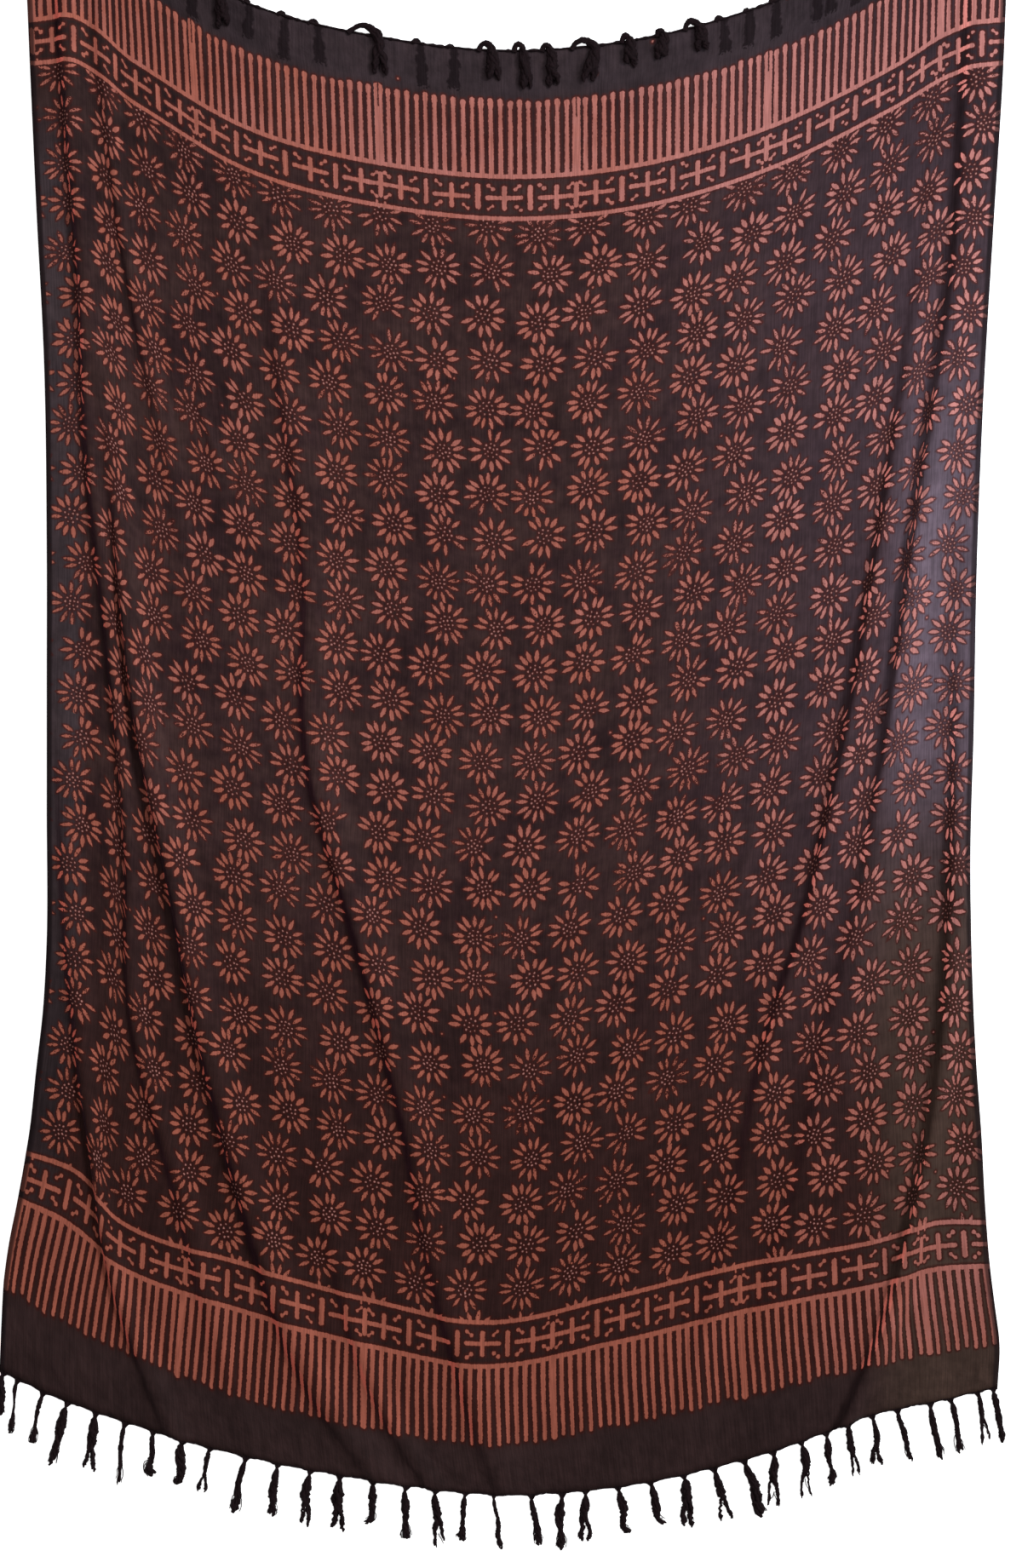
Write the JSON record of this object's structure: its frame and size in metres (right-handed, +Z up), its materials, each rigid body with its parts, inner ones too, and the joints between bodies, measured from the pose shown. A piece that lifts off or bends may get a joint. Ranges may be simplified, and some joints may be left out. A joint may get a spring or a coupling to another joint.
{
  "type": "batik sarong",
  "caption": "Rectangular batik sarong in thin dark cloth, laid out flat with long soft folds and twisted tassels at both short ends.",
  "frame": {"origin": "on the surface that the sarong lies on, under the middle of its bounding box", "axes": "+X across the cloth from the left selvedge to the right, +Y along the cloth from the lower fringe to the upper hem, +Z up from the surface"},
  "size_m": [1.1412, 1.878, 0.0172],
  "materials": {
    "cloth": "thin plain weave, dyed dark brown with a resist print in terracotta, soft low sheen",
    "fringe": "twisted warp yarns, near black, matt"
  },
  "bodies": {
    "root": {"cloth_panel": "cloth", "fringe_lower": "fringe", "fringe_upper": "fringe"}
  },
  "joints": []
}
